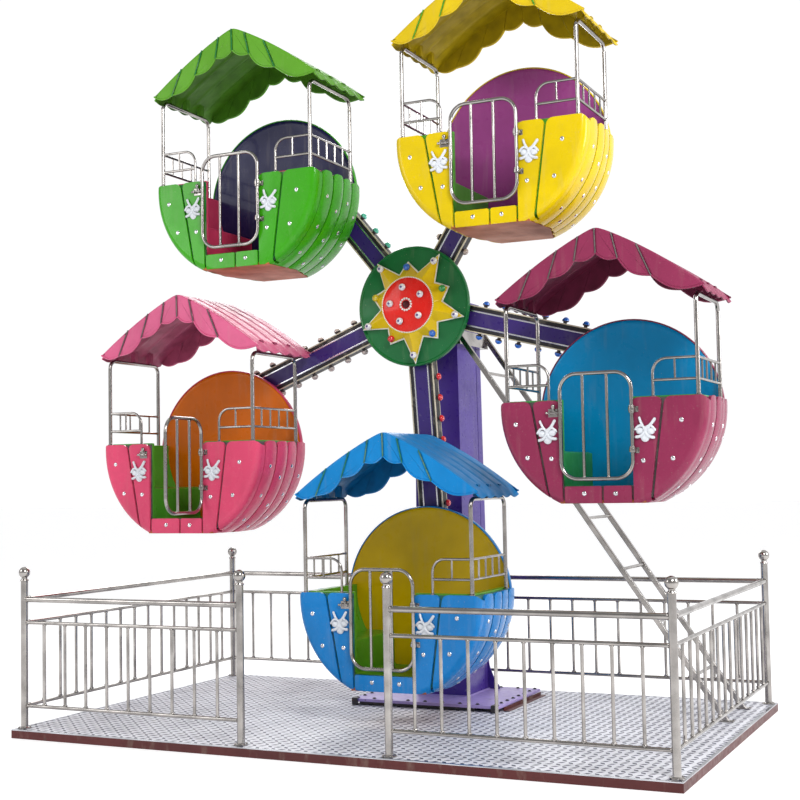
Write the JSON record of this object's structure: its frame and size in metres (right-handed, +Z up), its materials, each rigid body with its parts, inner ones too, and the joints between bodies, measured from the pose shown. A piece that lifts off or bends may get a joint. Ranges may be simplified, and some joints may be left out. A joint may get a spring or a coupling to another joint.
{
  "type": "small fairground ferris wheel",
  "caption": "Children's fairground ferris wheel with open cabins on one side of a column, on a fenced steel platform with a leaning service ladder.",
  "frame": {"origin": "on the ground under the middle of the platform, on the underside of its middle cross member", "axes": "+Z up, +X to the right along the platform's front edge, -Y towards the side where riders get on; the wheel's axle runs along Y"},
  "size_m": [4.7, 2.84, 5.1972],
  "materials": {
    "stainless": "polished stainless tube",
    "chequer_plate": "worn chequered steel plate",
    "edge_frame": "red-brown paint",
    "purple_paint": "glossy purple enamel",
    "base_paint": "light violet enamel",
    "hub_green": "glossy green",
    "star_yellow": "glossy yellow",
    "centre_red": "glossy red",
    "drive_grey": "grey enamel",
    "green_tub": "glossy moulded glass-fibre",
    "green_canopy": "glossy moulded glass-fibre",
    "green_liner": "glossy moulded glass-fibre",
    "green_disc": "glossy moulded glass-fibre",
    "yellow_tub": "glossy moulded glass-fibre",
    "yellow_canopy": "glossy moulded glass-fibre",
    "yellow_liner": "glossy moulded glass-fibre",
    "yellow_disc": "glossy moulded glass-fibre",
    "maroon_tub": "glossy moulded glass-fibre",
    "maroon_canopy": "glossy moulded glass-fibre",
    "maroon_liner": "glossy moulded glass-fibre",
    "maroon_disc": "glossy moulded glass-fibre",
    "blue_tub": "glossy moulded glass-fibre",
    "blue_canopy": "glossy moulded glass-fibre",
    "blue_liner": "glossy moulded glass-fibre",
    "blue_disc": "glossy moulded glass-fibre",
    "pink_tub": "glossy moulded glass-fibre",
    "pink_canopy": "glossy moulded glass-fibre",
    "pink_liner": "glossy moulded glass-fibre",
    "pink_disc": "glossy moulded glass-fibre"
  },
  "bodies": {
    "base": {"platform_frame": "edge_frame", "platform_deck": "chequer_plate", "fence_front_left": "stainless", "fence_front_right": "stainless", "fence_left": "stainless", "fence_right": "stainless", "fence_back": "stainless", "column": "purple_paint", "column_base": "base_paint", "drive": "drive_grey", "ladder": "stainless"},
    "wheel": {"hub_block": "purple_paint", "hub_disc": "hub_green", "hub_star": "star_yellow", "hub_centre": "centre_red", "arm_green": "purple_paint", "arm_yellow": "purple_paint", "arm_maroon": "purple_paint", "arm_blue": "purple_paint", "arm_pink": "purple_paint"},
    "cabin_green": {"green_tub": "green_tub", "green_back_disc": "green_disc", "green_liner": "green_liner", "green_canopy": "green_canopy", "green_frame_left": "stainless", "green_frame_right": "stainless"},
    "door_green": {"green_door": "stainless"},
    "cabin_yellow": {"yellow_tub": "yellow_tub", "yellow_back_disc": "yellow_disc", "yellow_liner": "yellow_liner", "yellow_canopy": "yellow_canopy", "yellow_frame_left": "stainless", "yellow_frame_right": "stainless"},
    "door_yellow": {"yellow_door": "stainless"},
    "cabin_maroon": {"maroon_tub": "maroon_tub", "maroon_back_disc": "maroon_disc", "maroon_liner": "maroon_liner", "maroon_canopy": "maroon_canopy", "maroon_frame_left": "stainless", "maroon_frame_right": "stainless"},
    "door_maroon": {"maroon_door": "stainless"},
    "cabin_blue": {"blue_tub": "blue_tub", "blue_back_disc": "blue_disc", "blue_liner": "blue_liner", "blue_canopy": "blue_canopy", "blue_frame_left": "stainless", "blue_frame_right": "stainless"},
    "door_blue": {"blue_door": "stainless"},
    "cabin_pink": {"pink_tub": "pink_tub", "pink_back_disc": "pink_disc", "pink_liner": "pink_liner", "pink_canopy": "pink_canopy", "pink_frame_left": "stainless", "pink_frame_right": "stainless"},
    "door_pink": {"pink_door": "stainless"}
  },
  "joints": [
    {"name": "wheel_spin", "type": "hinge", "parent": "base", "child": "wheel", "pos_m": [0, 0.45, 3.025], "axis": [0, 1, 0], "continuous": true},
    {"name": "cabin_maroon_pivot", "type": "hinge", "parent": "wheel", "child": "cabin_maroon", "pos_m": [1.64511, 0.36, 2.59648], "axis": [0, 1, 0], "continuous": true},
    {"name": "cabin_yellow_pivot", "type": "hinge", "parent": "wheel", "child": "cabin_yellow", "pos_m": [0.91591, 0.36, 4.45717], "axis": [0, 1, 0], "continuous": true},
    {"name": "cabin_green_pivot", "type": "hinge", "parent": "wheel", "child": "cabin_green", "pos_m": [-1.07904, 0.36, 4.33865], "axis": [0, 1, 0], "continuous": true},
    {"name": "cabin_pink_pivot", "type": "hinge", "parent": "wheel", "child": "cabin_pink", "pos_m": [-1.58279, 0.36, 2.40471], "axis": [0, 1, 0], "continuous": true},
    {"name": "cabin_blue_pivot", "type": "hinge", "parent": "wheel", "child": "cabin_blue", "pos_m": [0.10082, 0.36, 1.32799], "axis": [0, 1, 0], "continuous": true},
    {"name": "door_maroon_hinge", "type": "hinge", "parent": "cabin_maroon", "child": "door_maroon", "pos_m": [1.86011, -0.512, 2.05648], "axis": [0, 0, 1], "range_deg": [0, 100]},
    {"name": "door_yellow_hinge", "type": "hinge", "parent": "cabin_yellow", "child": "door_yellow", "pos_m": [1.13091, -0.512, 3.91717], "axis": [0, 0, 1], "range_deg": [0, 100]},
    {"name": "door_green_hinge", "type": "hinge", "parent": "cabin_green", "child": "door_green", "pos_m": [-0.86404, -0.512, 3.79865], "axis": [0, 0, 1], "range_deg": [0, 100]},
    {"name": "door_pink_hinge", "type": "hinge", "parent": "cabin_pink", "child": "door_pink", "pos_m": [-1.3678, -0.512, 1.86471], "axis": [0, 0, 1], "range_deg": [-92, 8]},
    {"name": "door_blue_hinge", "type": "hinge", "parent": "cabin_blue", "child": "door_blue", "pos_m": [0.31582, -0.512, 0.78799], "axis": [0, 0, 1], "range_deg": [0, 100]}
  ],
  "couplings": [
    {"joint": "cabin_maroon_pivot", "follows": "wheel_spin", "ratio": -1},
    {"joint": "cabin_yellow_pivot", "follows": "wheel_spin", "ratio": -1},
    {"joint": "cabin_green_pivot", "follows": "wheel_spin", "ratio": -1},
    {"joint": "cabin_pink_pivot", "follows": "wheel_spin", "ratio": -1},
    {"joint": "cabin_blue_pivot", "follows": "wheel_spin", "ratio": -1}
  ]
}
